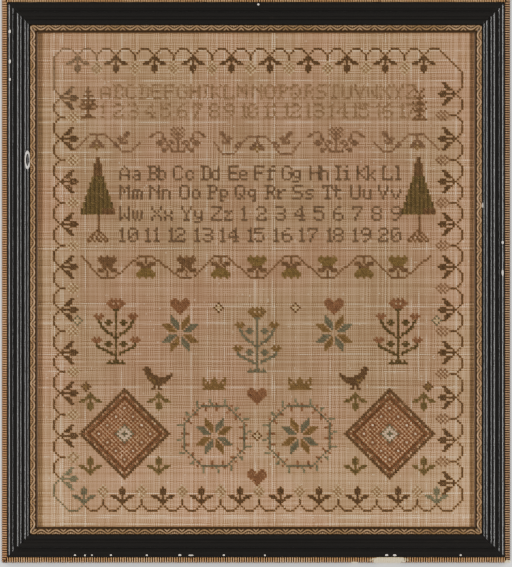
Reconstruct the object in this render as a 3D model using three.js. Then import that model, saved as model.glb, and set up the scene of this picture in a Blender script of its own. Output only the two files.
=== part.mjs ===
import * as THREE from 'three';

// Framed cross stitch sampler, lying on its back. Millimetres, +Z up.
// The stitched side faces up and +Y is the top of the work. The origin is on
// the resting plane, under the middle of the frame.
//
// From the outside in, each side of the frame is three mitred mouldings: a
// gilt edge strip, a black reeded rail and a gilt slip. The slip overlaps the
// rim of the linen, which is stretched over a thin backing board.

// Driving dimensions.
const SIGHT_WIDTH = 380;        // linen seen inside the slip, left to right
const SIGHT_HEIGHT = 430;       // linen seen inside the slip, bottom to top
const EDGE_WIDTH = 5.3;         // gilt edge strip, across its section
const RAIL_WIDTH = 19.4;        // black reeded rail
const SLIP_WIDTH = 6.9;         // gilt slip
const FIT = 0.3;                // clearance between neighbouring pieces

const BOARD_RECESS = 2.7;       // the board lies in from the back of the rails
const BOARD_THICKNESS = 5;
const LINEN_THICKNESS = 1.2;

const EDGE_OUTER_HEIGHT = 4.6;  // flat outer face of the gilt edge strip
const EDGE_INNER_HEIGHT = 12.6; // where its round meets the black rail
const RAIL_SHOULDER = 13.8;     // flat outer face of the black rail
const SLIP_SHOULDER = 14.2;     // outer face of the slip, above the back

const ROUND_STEPS = 6;          // facets on the edge strip's quarter round
const REED_STEPS = 6;           // facets across one reed
const COVE_STEPS = 3;           // facets across one hollow
const FLAT_STEPS = 1;

// Heights and overall sizes that follow from them.
const BOARD_TOP = BOARD_RECESS + BOARD_THICKNESS;
const LINEN_BACK = BOARD_TOP + FIT;
const LINEN_FACE = LINEN_BACK + LINEN_THICKNESS;
const SLIP_BACK = LINEN_FACE + FIT;
const SIDE_WIDTH = EDGE_WIDTH + FIT + RAIL_WIDTH + FIT + SLIP_WIDTH;
const FRAME_WIDTH = SIGHT_WIDTH + 2 * SIDE_WIDTH;
const FRAME_HEIGHT = SIGHT_HEIGHT + 2 * SIDE_WIDTH;
const RAIL_OUTSET = EDGE_WIDTH + FIT;
const SLIP_OUTSET = RAIL_OUTSET + RAIL_WIDTH + FIT;
const PANEL_WIDTH = FRAME_WIDTH - 2 * SLIP_OUTSET;
const PANEL_HEIGHT = FRAME_HEIGHT - 2 * SLIP_OUTSET;
const MITRE_SETBACK = FIT / Math.SQRT2;

// The black rail's face, from its outer side inwards. Each row ends at "across"
// and "height"; "rise" is how far the round bulges over the straight line from
// the row before, and a negative rise is a hollow.
const RAIL_FACE = [
  { across: 3.0, height: 14.6, rise: 1.1, steps: REED_STEPS },
  { across: 5.5, height: 14.9, rise: 1.0, steps: REED_STEPS },
  { across: 7.5, height: 15.6, rise: -0.7, steps: COVE_STEPS },
  { across: 10.0, height: 16.9, rise: 1.2, steps: REED_STEPS },
  { across: 12.7, height: 16.3, rise: 1.3, steps: REED_STEPS },
  { across: 14.1, height: 15.4, rise: -0.6, steps: COVE_STEPS },
  { across: 16.4, height: 15.5, rise: 1.0, steps: REED_STEPS },
  { across: 18.6, height: 15.0, rise: 1.0, steps: REED_STEPS },
  { across: RAIL_WIDTH, height: 14.9, rise: 0, steps: FLAT_STEPS },
];

// The slip's face: a rounded band that carries the ornament, a fine groove and
// the lip at the sight edge.
const SLIP_FACE = [
  { across: 4.9, height: 12.5, rise: 0.9, steps: REED_STEPS },
  { across: 5.7, height: 12.3, rise: -0.4, steps: COVE_STEPS },
  { across: SLIP_WIDTH, height: 12.4, rise: 0.5, steps: COVE_STEPS },
];

const gilt = new THREE.MeshStandardMaterial({
  name: 'gilt', color: 0x8f7150, roughness: 0.45, metalness: 0.55,
});
const blackLacquer = new THREE.MeshStandardMaterial({
  name: 'black_lacquer', color: 0x1c1815, roughness: 0.28, metalness: 0,
});
const linen = new THREE.MeshStandardMaterial({
  name: 'linen', color: 0xb49a7c, roughness: 0.95, metalness: 0,
});
const pine = new THREE.MeshStandardMaterial({
  name: 'pine', color: 0x8b6a45, roughness: 0.8, metalness: 0,
});

// Points of a moulded face, starting from (0, shoulder).
function facePoints(shoulder, rows) {
  const points = [new THREE.Vector2(0, shoulder)];
  let from = points[0];
  for (const row of rows) {
    const to = new THREE.Vector2(row.across, row.height);
    for (let step = 1; step <= row.steps; step += 1) {
      const along = step / row.steps;
      const point = from.clone().lerp(to, along);
      point.y += row.rise * Math.sin(Math.PI * along);
      points.push(point);
    }
    from = to;
  }
  return points;
}

// A closed section: the moulded face on top, straight sides and a flat back.
function mouldingSection(width, back, shoulder, rows) {
  return new THREE.Shape([
    new THREE.Vector2(0, back),
    ...facePoints(shoulder, rows),
    new THREE.Vector2(width, back),
  ]);
}

// The gilt edge strip: a low flat outer face under a quarter round.
function edgeSection() {
  const roundHeight = EDGE_INNER_HEIGHT - EDGE_OUTER_HEIGHT;
  const points = [new THREE.Vector2(0, 0)];
  for (let step = 0; step <= ROUND_STEPS; step += 1) {
    const angle = (Math.PI / 2) * (step / ROUND_STEPS);
    points.push(new THREE.Vector2(
      EDGE_WIDTH * (1 - Math.cos(angle)),
      EDGE_OUTER_HEIGHT + roundHeight * Math.sin(angle),
    ));
  }
  points.push(new THREE.Vector2(EDGE_WIDTH, 0));
  return new THREE.Shape(points);
}

// A moulding cut to length. The section (x inwards, y up) runs along Z, and
// each end is slid in by the point's own x, which makes the 45 degree mitre.
function mitredBar(section, outerLength) {
  const geometry = new THREE.ExtrudeGeometry(section, {
    depth: outerLength, steps: 1, bevelEnabled: false,
  });
  const points = geometry.attributes.position;
  for (let index = 0; index < points.count; index += 1) {
    const setback = points.getX(index) + MITRE_SETBACK;
    const half = outerLength / 2 - setback;
    const atStart = points.getZ(index) < outerLength / 2;
    points.setZ(index, atStart ? -half : half);
  }
  geometry.computeVertexNormals();
  return geometry;
}

// The three mouldings of one side, from the outside in.
const MOULDINGS = [
  {
    node: 'gilt_edge',
    section: edgeSection(),
    outset: 0,
    material: gilt,
  },
  {
    node: 'black_rail',
    section: mouldingSection(RAIL_WIDTH, 0, RAIL_SHOULDER, RAIL_FACE),
    outset: RAIL_OUTSET,
    material: blackLacquer,
  },
  {
    node: 'gilt_slip',
    section: mouldingSection(SLIP_WIDTH, SLIP_BACK, SLIP_SHOULDER, SLIP_FACE),
    outset: SLIP_OUTSET,
    material: gilt,
  },
];

// The four sides, each turned about +Z from the bottom one.
const SIDES = [
  { name: 'bottom', turn: 0, length: FRAME_WIDTH, reach: FRAME_HEIGHT / 2 },
  { name: 'right', turn: Math.PI / 2, length: FRAME_HEIGHT, reach: FRAME_WIDTH / 2 },
  { name: 'top', turn: Math.PI, length: FRAME_WIDTH, reach: FRAME_HEIGHT / 2 },
  { name: 'left', turn: -Math.PI / 2, length: FRAME_HEIGHT, reach: FRAME_WIDTH / 2 },
];

// Turns a bar's own axes (inwards, up, along) to +Y, +Z and +X.
const BAR_AXES = new THREE.Matrix4().makeBasis(
  new THREE.Vector3(0, 1, 0),
  new THREE.Vector3(0, 0, 1),
  new THREE.Vector3(1, 0, 0),
);

function frameSide(side) {
  const group = new THREE.Group();
  for (const moulding of MOULDINGS) {
    const outerLength = side.length - 2 * moulding.outset;
    const bar = new THREE.Mesh(mitredBar(moulding.section, outerLength), moulding.material);
    bar.name = `${moulding.node}_${side.name}`;
    bar.quaternion.setFromRotationMatrix(BAR_AXES);
    bar.position.y = moulding.outset - side.reach;
    group.add(bar);
  }
  group.rotation.z = side.turn;
  return group;
}

// A flat panel that fits between the black rails, with FIT all round.
function panel(name, thickness, back, material) {
  const geometry = new THREE.BoxGeometry(
    PANEL_WIDTH - 2 * FIT, PANEL_HEIGHT - 2 * FIT, thickness,
  );
  const mesh = new THREE.Mesh(geometry, material);
  mesh.name = name;
  mesh.position.z = back + thickness / 2;
  return mesh;
}

const sampler = new THREE.Group();
sampler.add(panel('linen_cloth', LINEN_THICKNESS, LINEN_BACK, linen));
sampler.add(panel('backing_board', BOARD_THICKNESS, BOARD_RECESS, pine));
for (const side of SIDES) {
  sampler.add(frameSide(side));
}

export default sampler;
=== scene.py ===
# %% [markdown]
# # A framed cross stitch sampler
#
# The object is a linen cloth covered with small crossed stitches, stretched over
# a board and held in a wooden frame. Each side of the frame is three mouldings:
# a ribbed gilt strip outside, a black reeded rail, and a carved gilt slip next to
# the cloth. The plain solids of all of these already exist as a fixed frame of
# sizes. This lesson gives each of them its finished form and surface. It starts
# by loading those solids, because every later size and place is read from them.

# %% Load the plain solids
import math

import bpy
import numpy as np
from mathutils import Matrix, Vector


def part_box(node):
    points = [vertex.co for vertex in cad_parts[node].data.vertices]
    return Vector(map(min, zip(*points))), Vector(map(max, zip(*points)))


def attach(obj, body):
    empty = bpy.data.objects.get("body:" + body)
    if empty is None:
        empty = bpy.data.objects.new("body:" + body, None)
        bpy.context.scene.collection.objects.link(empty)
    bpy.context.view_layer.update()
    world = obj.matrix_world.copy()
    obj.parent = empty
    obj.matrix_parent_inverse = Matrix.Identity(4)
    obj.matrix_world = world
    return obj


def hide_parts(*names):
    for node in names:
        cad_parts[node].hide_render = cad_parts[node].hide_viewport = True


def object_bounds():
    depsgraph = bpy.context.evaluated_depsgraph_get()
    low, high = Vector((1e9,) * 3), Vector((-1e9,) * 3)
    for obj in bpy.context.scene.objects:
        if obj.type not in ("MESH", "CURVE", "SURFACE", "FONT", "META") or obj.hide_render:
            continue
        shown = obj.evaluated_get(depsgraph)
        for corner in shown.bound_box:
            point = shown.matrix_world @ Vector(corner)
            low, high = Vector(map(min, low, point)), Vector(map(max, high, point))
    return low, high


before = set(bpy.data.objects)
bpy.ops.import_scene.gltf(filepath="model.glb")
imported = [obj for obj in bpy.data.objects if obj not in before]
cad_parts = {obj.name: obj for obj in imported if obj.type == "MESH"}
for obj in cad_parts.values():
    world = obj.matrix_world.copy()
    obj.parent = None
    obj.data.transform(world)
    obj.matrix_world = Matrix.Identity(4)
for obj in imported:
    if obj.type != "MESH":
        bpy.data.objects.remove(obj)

MM = 0.001
cad_low, cad_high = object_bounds()
print("plain solids:", [round(size / MM, 1) for size in cad_high - cad_low], "mm")


# %% [markdown]
# ## Helpers for modelling
#
# A modelling operator works on whatever is selected, so each step first selects
# exactly what it means to change. The helpers below only pick, start and end edit
# mode, and settle a finished piece: its place is written into its mesh, so that
# patterns that read object coordinates stay still.

# %% Pick, edit and settle a piece
bpy.ops.object.select_all(action="DESELECT")


def only(*chosen):
    """Selects these objects and nothing else, the first one active."""
    bpy.ops.object.select_all(action="DESELECT")
    for piece in chosen:
        piece.select_set(True)
    bpy.context.view_layer.objects.active = chosen[0]


def edit(piece, select="SELECT"):
    only(piece)
    bpy.ops.object.mode_set(mode="EDIT")
    bpy.ops.mesh.select_all(action=select)


def leave():
    bpy.ops.object.mode_set(mode="OBJECT")


def named(name):
    """Names the object that was just added."""
    bpy.ops.object.select_all(action="DESELECT")
    piece = bpy.context.view_layer.objects.active
    piece.name = name
    piece.data.name = name
    return piece


def settle(piece):
    only(piece)
    bpy.ops.object.transform_apply(location=True, rotation=True, scale=True)


def triangles(piece):
    return sum(len(face.vertices) - 2 for face in piece.data.polygons)


# %% [markdown]
# ## Helpers for finishes
#
# A finish is a small network of shader nodes. The same few steps come back in all
# of them: a noise, a sum, a soft threshold, a mix of two colours. Wrapping them in
# one class keeps each finish short enough to read as a recipe. A value that is the
# same all over a surface is set on the shader itself and never passes a node.

# %% A class that builds a finish
class Finish:
    def __init__(self, name, colour, roughness, metallic=0.0):
        self.material = bpy.data.materials.new(name)
        self.material.use_nodes = True
        self.tree = self.material.node_tree
        self.shader = self.tree.nodes["Principled BSDF"]
        self.shader.inputs["Base Color"].default_value = (*colour, 1)
        self.shader.inputs["Roughness"].default_value = roughness
        self.shader.inputs["Metallic"].default_value = metallic
        self.place = self.node("TexCoord").outputs["Object"]

    def node(self, kind, sockets=None, **settings):
        made = self.tree.nodes.new("ShaderNode" + kind)
        for key, value in settings.items():
            setattr(made, key, value)
        for key, value in (sockets or {}).items():
            self.plug(made.inputs[key], value)
        return made

    def plug(self, socket, value):
        if isinstance(value, bpy.types.NodeSocket):
            self.tree.links.new(value, socket)
        else:
            socket.default_value = value

    def math(self, operation, *values):
        return self.node("Math", dict(enumerate(values)), operation=operation).outputs[0]

    def plus(self, first, second):
        return self.math("ADD", first, second)

    def minus(self, first, second):
        return self.math("SUBTRACT", first, second)

    def times(self, first, second):
        return self.math("MULTIPLY", first, second)

    def scaled(self, value, factor, more):
        """The value times a factor, plus some more."""
        return self.math("MULTIPLY_ADD", value, factor, more)

    def split(self, vector):
        return self.node("SeparateXYZ", {0: vector}).outputs

    def join(self, x=0.0, y=0.0, z=0.0):
        return self.node("CombineXYZ", {0: x, 1: y, 2: z}).outputs[0]

    def stretch(self, vector, factors):
        made = self.node("VectorMath", {0: vector, 1: factors}, operation="MULTIPLY")
        return made.outputs[0]

    def noise(self, vector, scale, detail=2.0, roughness=0.5):
        sockets = {"Vector": vector, "Scale": scale, "Detail": detail, "Roughness": roughness}
        return self.node("TexNoise", sockets).outputs["Fac"]

    def streaks(self, vector, waves, detail):
        """A noise with its own number of waves in a metre along each axis."""
        return self.noise(self.stretch(vector, waves), 1.0, detail)

    def dice(self, number):
        """A random number from 0 to 1 for each whole number."""
        return self.node("TexWhiteNoise", {"W": number}, noise_dimensions="1D").outputs["Value"]

    def ramp(self, value, start, end, low=0.0, high=1.0):
        """Goes softly from low to high while the value goes from start to end."""
        sockets = {0: value, 1: start, 2: end, 3: low, 4: high}
        return self.node("MapRange", sockets, interpolation_type="SMOOTHSTEP").outputs[0]

    def mix(self, share, first, second, blend="MIX"):
        made = self.node("Mix", data_type="RGBA", blend_type=blend)
        colours = [(*c, 1) if isinstance(c, tuple) else c for c in (first, second)]
        for socket, value in zip((0, 6, 7), (share, *colours)):
            self.plug(made.inputs[socket], value)
        return made.outputs[2]

    def tint(self, share, colour, factors):
        """Takes a colour towards itself times these factors, by this share."""
        return self.mix(share, colour, self.mix(1.0, colour, factors, "MULTIPLY"))

    def attribute(self, name, output="Fac"):
        return self.node("Attribute", attribute_name=name).outputs[output]

    def colour(self, value):
        self.plug(self.shader.inputs["Base Color"], value)

    def roughness(self, value):
        self.plug(self.shader.inputs["Roughness"], value)

    def dull(self, level):
        """Sets how much the surface glints; 0.5 is common, cloth and dirt have less."""
        self.plug(self.shader.inputs["Specular IOR Level"], level)

    def bump(self, height, depth, strength=1.0):
        """Lets light see a height from 0 to 1 as a relief of this depth in metres."""
        made = self.node("Bump", {"Height": height, "Strength": strength, "Distance": depth})
        self.plug(self.shader.inputs["Normal"], made.outputs[0])


# %% [markdown]
# ## Sizes that the rest of the lesson reads
#
# The frame is symmetrical, so one side's solids say everything: how wide each
# moulding is, how far in it starts, and how much linen it leaves in sight.

# %% Sizes of the frame and the sight
linen_low, linen_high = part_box("linen_cloth")
sight_half_width = -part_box("gilt_slip_left")[1].x
sight_half_height = -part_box("gilt_slip_bottom")[1].y
linen_face = linen_high.z
print("sight:", round(2 * sight_half_width / MM, 1), "x", round(2 * sight_half_height / MM, 1))


# %% [markdown]
# ## Mouldings
#
# A framer cuts a moulding as one long bar and then mitres it. The same order works
# here: draw the section, pull it along into a bar, and cut both ends off at 45
# degrees. Scaling a box would be quicker, but it can't give reeds and hollows, and
# a curve with a bevel profile is hard to cut square. The section is drawn by
# extruding one corner point from place to place, as with a pencil.
#
# A face profile is a short table. Each row ends at a distance across the bar and a
# height, and says how far the round between two rows rises over the straight line.
# A negative rise is a hollow.

# %% Draw a section and pull it into a bar
ROUND_STEPS = 10


def arc(share, width, rise):
    """Height of a round over its chord; rise is its middle's, negative for a hollow."""
    radius = (width * width / 4 + rise * rise) / (2 * abs(rise))
    half = (share - 0.5) * width
    return math.copysign(math.sqrt(radius * radius - half * half) - radius + abs(rise), rise)


def face_outline(shoulder, rows):
    """Points (across, height) along a moulded face, in metres."""
    points = [(0.0, shoulder * MM)]
    before = (0.0, shoulder)
    for across, height, rise in rows:
        steps = ROUND_STEPS if rise else 1
        for step in range(1, steps + 1):
            share = step / steps
            y = before[0] + (across - before[0]) * share
            z = before[1] + (height - before[1]) * share
            if rise:
                z += arc(share, across - before[0], rise)
            points.append((y * MM, z * MM))
        before = (across, height)
    return points


def draw(name, points):
    """A closed outline through these points, filled with one face."""
    bpy.ops.mesh.primitive_plane_add(size=MM, location=(0, 0, 0))
    piece = named(name)
    edit(piece)
    bpy.ops.mesh.merge(type="CENTER")
    bpy.ops.transform.translate(value=points[0])
    for before, after in zip(points, points[1:]):
        move = Vector(after) - Vector(before)
        bpy.ops.mesh.extrude_vertices_move(TRANSFORM_OT_translate={"value": move})
    bpy.ops.mesh.select_all(action="SELECT")
    bpy.ops.mesh.edge_face_add()
    leave()
    return piece


def pull(piece, moves):
    """Extrudes all of the piece through these moves, one after the other."""
    edit(piece)
    for move in moves:
        bpy.ops.mesh.extrude_region_move(TRANSFORM_OT_translate={"value": move})
    bpy.ops.mesh.select_all(action="SELECT")
    bpy.ops.mesh.normals_make_consistent(inside=False)
    leave()


def mitre(piece, length):
    """Cuts both ends at 45 degrees, shorter towards +Y, and closes the cuts."""
    edit(piece)
    for end in (-1, 1):
        bpy.ops.mesh.select_all(action="SELECT")
        bpy.ops.mesh.bisect(
            plane_co=(end * length / 2, 0, 0), plane_no=(-end, -1, 0), clear_inner=True
        )
    bpy.ops.mesh.select_all(action="SELECT")
    bpy.ops.mesh.fill_holes(sides=0)
    bpy.ops.mesh.normals_make_consistent(inside=False)
    leave()


# %% [markdown]
# ## Where the four bars of a ring go
#
# Every bar is made lying along X, with its outer side at Y = 0, its face up and its
# middle at X = 0. Its UV map is laid in that position, in metres along and across,
# so that wood grain, brush marks and scratches run along the moulding on all four
# sides. Then the bar is turned and moved to where its solid is.

# %% Lay the UV map, smooth and place a bar
SIDES = {"bottom": 0, "right": 90, "top": 180, "left": 270}
SAW_ALLOWANCE = MM
RAIL_SMOOTH, GILT_SMOOTH = 18, 60


def lay_uv(piece):
    """U runs along the bar and V across and up it, in metres."""
    mesh = piece.data
    layer = mesh.uv_layers.new(name="along") if not mesh.uv_layers else mesh.uv_layers[0]
    for loop in mesh.loops:
        point = mesh.vertices[loop.vertex_index].co
        layer.data[loop.index].uv = (point.x, point.y + point.z)


def stamp(piece, name, values):
    """Writes one number for each point into a named attribute."""
    layer = piece.data.attributes.get(name)
    if layer is None:
        layer = piece.data.attributes.new(name, "FLOAT", "POINT")
    layer.data.foreach_set("value", np.asarray(values, dtype=np.float32))


def points_of(piece):
    flat = np.empty(len(piece.data.vertices) * 3, dtype=np.float32)
    piece.data.vertices.foreach_get("co", flat)
    return flat.reshape(-1, 3)


def bar_length(node, side):
    low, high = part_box(f"{node}_{side}")
    return max(high.x - low.x, high.y - low.y)


def set_on_side(piece, node, side, smooth_angle):
    """Turns a finished bar to its side of the frame and moves it to its solid."""
    low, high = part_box(f"{node}_{side}")
    middle = (low + high) / 2
    places = {
        "bottom": (middle.x, low.y), "right": (high.x, middle.y),
        "top": (middle.x, high.y), "left": (low.x, middle.y),
    }
    only(piece)
    bpy.ops.object.shade_smooth_by_angle(angle=math.radians(smooth_angle))
    piece.location = (*places[side], 0)
    piece.rotation_euler.z = math.radians(SIDES[side])
    settle(piece)
    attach(piece, "root")
    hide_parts(f"{node}_{side}")


# %% [markdown]
# ## The black rails
#
# The rail is a stepped moulding: a broad reed outside, a flat, a bold reed on a
# step, another flat and a narrow reed inside. Black paint on gesso was rubbed to a
# low gloss, so each flank of a reed that faces a light carries one thin bright
# line, and dull dust lies in the hollows. The wear follows the shape, so a number
# called crest is stamped on the points: 1 on top of a reed and -1 at the bottom of
# a hollow.

# %% Black rail sections
RAIL_SHOULDER = 13.8
RAIL_FACE = [
    (0.5, 13.8, 0), (5.7, 13.8, 1.17), (7.8, 13.8, 0), (8.2, 16.0, 0), (12.55, 16.0, 1.0),
    (12.9, 15.0, 0), (14.7, 15.0, 0), (18.6, 15.0, 0.87), (19.4, 14.9, 0),
]


def crest_at(across, rows):
    """How far up its round or down its hollow a place on the face is, -1 to 1."""
    start = 0.0
    for end, _, rise in rows:
        if across <= end + 0.001:
            share = (across - start) / (end - start)
            return math.copysign(math.sin(math.pi * share), rise) if rise else 0.0
        start = end
    return 0.0


def long_bar(name, length, outline):
    """Pulls a section (across, height) a little past its length and mitres it."""
    piece = draw(name, [(-length / 2 - SAW_ALLOWANCE, y, z) for y, z in outline])
    pull(piece, [(length + 2 * SAW_ALLOWANCE, 0, 0)])
    mitre(piece, length)
    return piece


def moulded_bar(name, node, side, back, shoulder, rows):
    """One mitred bar with a moulded face."""
    length = bar_length(node, side)
    face = face_outline(shoulder, rows)
    outline = [(0.0, back), *face, (face[-1][0], back)]
    piece = long_bar(name, length, outline)
    stamp(piece, "crest", [crest_at(y / MM, rows) for x, y, z in points_of(piece)])
    lay_uv(piece)
    return piece


black_rails = []
for side in SIDES:
    rail = moulded_bar(
        f"reeded_rail_{side}", "black_rail", side, 0.0, RAIL_SHOULDER, RAIL_FACE
    )
    set_on_side(rail, "black_rail", side, RAIL_SMOOTH)
    black_rails.append(rail)
print("rails:", [triangles(rail) for rail in black_rails], "triangles")


# %% [markdown]
# ## The gilt slips
#
# The slip is a narrow moulding with a running ornament pressed in composition: a
# wavy ribbon, a fruit and four leaves inside each arch and two leaves and a bead
# between the arches.
# One unit is modelled and an array repeats it along the bar. The ribbon is a small
# section pulled through the wave; the open ends of neighbouring units are merged.
# The ornament is made on a flat ground and then let down onto the sloping face.

# %% Slip ornament, one unit
SLIP_SHOULDER = 13.45
SLIP_FACE = [(4.9, 11.75, 0.9), (5.7, 11.9, -0.3), (6.9, 12.4, 0.4)]
UNIT = 12.9 * MM
RIBBON_STEPS = 14
RIBBON_HALF = 0.80 * MM
RIBBON_RISE = 1.0 * MM
WAVE_MIDDLE = 2.45 * MM
WAVE_SWING = 1.6 * MM


def ribbon_y(share):
    """The wave's path: broad arches to the sight side, narrow feet between."""
    swing = math.cos(2 * math.pi * share)
    return WAVE_MIDDLE + WAVE_SWING * (swing + 0.12 * (1 - swing * swing))


def ribbon_unit(name):
    start = ribbon_y(0)
    sides = [(-1.0, -0.3), (-0.75, 0.65), (0.0, 1.0), (0.75, 0.65), (1.0, -0.3)]
    outline = [(0, start + across * RIBBON_HALF, up * RIBBON_RISE) for across, up in sides]
    piece = draw(name, outline)
    edit(piece)
    bpy.ops.mesh.delete(type="ONLY_FACE")
    leave()
    stops = [ribbon_y(step / RIBBON_STEPS) for step in range(RIBBON_STEPS + 1)]
    pull(piece, [(UNIT / RIBBON_STEPS, b - a, 0) for a, b in zip(stops, stops[1:])])
    return piece


def drop(name, x, y, half_sizes, turn=0.0, segments=8, rings=6):
    """A half-sunk drop of ornament, in mm."""
    bpy.ops.mesh.primitive_uv_sphere_add(
        segments=segments, ring_count=rings, radius=MM, location=(x * MM, y * MM, 0.0),
        rotation=(0, 0, math.radians(turn)), scale=half_sizes,
    )
    piece = named(name)
    settle(piece)
    return piece


def ornament_unit(name):
    """A fruit and four leaves at X = 0, two leaves and a bead half a unit on."""
    half = UNIT / MM / 2
    drops = [
        drop(name, 0.0, 1.45, (0.75, 1.2, 1.1)),
        drop(name, -1.6, 1.1, (0.68, 1.05, 1.0), 30, 6, 4),
        drop(name, 1.6, 1.1, (0.68, 1.05, 1.0), -30, 6, 4),
        drop(name, -3.0, 0.65, (0.55, 0.75, 0.8), 48, 6, 4),
        drop(name, 3.0, 0.65, (0.55, 0.75, 0.8), -48, 6, 4),
        drop(name, half - 1.3, 4.0, (1.9, 0.72, 1.1), -38, 6, 4),
        drop(name, half + 1.3, 4.0, (1.9, 0.72, 1.1), 38, 6, 4),
        drop(name, half, 2.55, (0.75, 0.6, 1.0), 0, 6, 4),
    ]
    only(*drops)
    bpy.ops.object.join()
    return drops[0]


# %% Repeat the unit, let it down on the face, and join it to its bar
def repeated(piece, pitch, count, merge=False):
    """An array along X, centred on X = 0."""
    piece.location.x = -pitch * count / 2
    settle(piece)
    only(piece)
    array = piece.modifiers.new("row", "ARRAY")
    array.use_relative_offset = False
    array.use_constant_offset = True
    array.constant_offset_displace = (pitch, 0, 0)
    array.count = count
    array.use_merge_vertices = merge
    array.merge_threshold = 0.01 * MM
    bpy.ops.object.modifier_apply(modifier=array.name)


def let_down(piece, shoulder, rows):
    """Stamps each point's relief, then adds the height of the face under it."""
    across, height = zip(*face_outline(shoulder, rows))
    points = points_of(piece)
    stamp(piece, "relief", np.clip(points[:, 2] / (0.9 * MM), 0, 1))
    points[:, 2] += np.interp(points[:, 1], across, height)
    piece.data.vertices.foreach_set("co", points.ravel())
    piece.data.update()


def slip_bar(side):
    length = bar_length("gilt_slip", side)
    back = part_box("gilt_slip_bottom")[0].z
    bar = moulded_bar(f"carved_slip_{side}", "gilt_slip", side, back, SLIP_SHOULDER, SLIP_FACE)
    stamp(bar, "relief", np.zeros(len(bar.data.vertices)))
    count = 2 * math.ceil(length / UNIT / 2) + 1
    parts = [bar]
    for made, merge in ((ribbon_unit("ribbon"), True), (ornament_unit("drops"), False)):
        repeated(made, UNIT, count, merge)
        mitre(made, length)
        let_down(made, SLIP_SHOULDER, SLIP_FACE)
        lay_uv(made)
        parts.append(made)
    only(*parts)
    bpy.ops.object.join()
    set_on_side(bar, "gilt_slip", side, GILT_SMOOTH)
    return bar


gilt_slips = [slip_bar(side) for side in SIDES]
print("slips:", [triangles(slip) for slip in gilt_slips], "triangles")


# %% [markdown]
# ## The ribbed gilt strips
#
# The outermost strip is a quarter round covered with fine ribs that run up and over
# it. A rib is a small outline spun by a quarter turn; scaling it upwards turns the
# quarter circle into the strip's taller quarter ellipse. An array makes the row.

# %% A rib and its row
EDGE_WIDTH = 5.3
EDGE_SHOULDER = 4.6
EDGE_TOP = 12.6
RIB_PITCH = 2.05 * MM
RIB_HALF = 0.82 * MM
RIB_RISE = 0.5 * MM
RIB_STEPS = 6


def edge_outline():
    """The quarter round under the ribs, from the outer side over to the rail."""
    points = [(RIB_RISE, 0.0)]
    for step in range(RIB_STEPS * 2 + 1):
        angle = math.pi / 2 * step / (RIB_STEPS * 2)
        y = EDGE_WIDTH * MM - (EDGE_WIDTH * MM - RIB_RISE) * math.cos(angle)
        z = EDGE_SHOULDER * MM + ((EDGE_TOP - EDGE_SHOULDER) * MM - RIB_RISE) * math.sin(angle)
        points.append((y, z))
    return [*points, (EDGE_WIDTH * MM, 0.0)]


def rib(name):
    sides = [(-1.0, 1.25), (-0.7, 0.25), (0.0, 0.0), (0.7, 0.25), (1.0, 1.25)]
    outline = [(x * RIB_HALF, y * RIB_RISE, EDGE_SHOULDER * MM) for x, y in sides]
    piece = draw(name, outline)
    edit(piece)
    bpy.ops.mesh.spin(
        steps=RIB_STEPS, angle=math.pi / 2, axis=(1, 0, 0),
        center=(0, EDGE_WIDTH * MM, EDGE_SHOULDER * MM),
    )
    bpy.ops.mesh.select_all(action="SELECT")
    bpy.ops.mesh.remove_doubles(threshold=0.001 * MM)
    bpy.ops.transform.resize(
        value=(1, 1, (EDGE_TOP - EDGE_SHOULDER) / EDGE_WIDTH),
        center_override=(0, 0, EDGE_SHOULDER * MM),
    )
    bpy.ops.mesh.normals_make_consistent(inside=False)
    leave()
    return piece


def edge_bar(side):
    length = bar_length("gilt_edge", side)
    bar = long_bar(f"ribbed_edge_{side}", length, edge_outline())
    stamp(bar, "relief", np.zeros(len(bar.data.vertices)))
    row = rib("ribs")
    repeated(row, RIB_PITCH, 2 * math.ceil(length / RIB_PITCH / 2) + 1)
    mitre(row, length)
    points = points_of(row)
    stamp(row, "relief", (1 - np.abs((points[:, 0] / RIB_PITCH) % 1 * 2 - 1)) ** 2.2)
    for piece in (bar, row):
        lay_uv(piece)
    only(bar, row)
    bpy.ops.object.join()
    set_on_side(bar, "gilt_edge", side, GILT_SMOOTH)
    return bar


gilt_edges = [edge_bar(side) for side in SIDES]
print("edges:", [triangles(edge) for edge in gilt_edges], "triangles")


# %% [markdown]
# ## Black paint on gesso
#
# Old black frames are never one even black. The reeds' tops are rubbed smooth, the
# hollows hold a little brown dust, and where an edge was knocked the white gesso
# under the paint shows as a small chip. The chips are few and have definite places,
# so each is written down as a place and a size; a noise frays its outline.

# %% Chips in the paint, in mm from the middle of the frame
CHIPS = [
    # x, y, half width, half height
    (-214.4, 216.1, 0.7, 1.1), (-214.4, 190.0, 0.6, 1.3), (-214.3, 174.3, 0.5, 1.0),
    (2.0, 239.6, 0.8, 0.6), (214.8, 32.5, 0.6, 1.0), (214.7, 6.0, 0.5, 2.1),
    (197.4, 64.7, 0.3, 1.8), (-157.6, -239.8, 0.7, 0.5), (-148.9, -239.9, 0.5, 0.5),
    (-142.8, -239.7, 0.6, 0.4), (-126.3, -239.8, 0.7, 0.5), (-95.0, -239.9, 0.6, 0.5),
    (-66.3, -239.7, 1.0, 0.6), (-56.7, -239.9, 1.8, 0.4), (-28.0, -239.8, 0.7, 0.5),
    (7.7, -239.9, 0.6, 0.5), (113.8, -239.8, 1.0, 0.6), (120.8, -239.9, 1.2, 0.6),
    (178.2, -239.8, 0.7, 0.5),
]
RING_CHIP = (-198.9, 104.3, 1.9, 6.6)
GESSO = (0.74, 0.67, 0.58)


def spot(finish, x, y, half_width, half_height):
    """Distance from a place, 1 at the rim of an ellipse around it."""
    away = finish.node(
        "VectorMath", {0: finish.place, 1: (x * MM, y * MM, 0)}, operation="SUBTRACT"
    ).outputs[0]
    sized = finish.stretch(away, (1 / (half_width * MM), 1 / (half_height * MM), 0))
    return finish.node("VectorMath", {0: sized}, operation="LENGTH").outputs["Value"]


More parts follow.
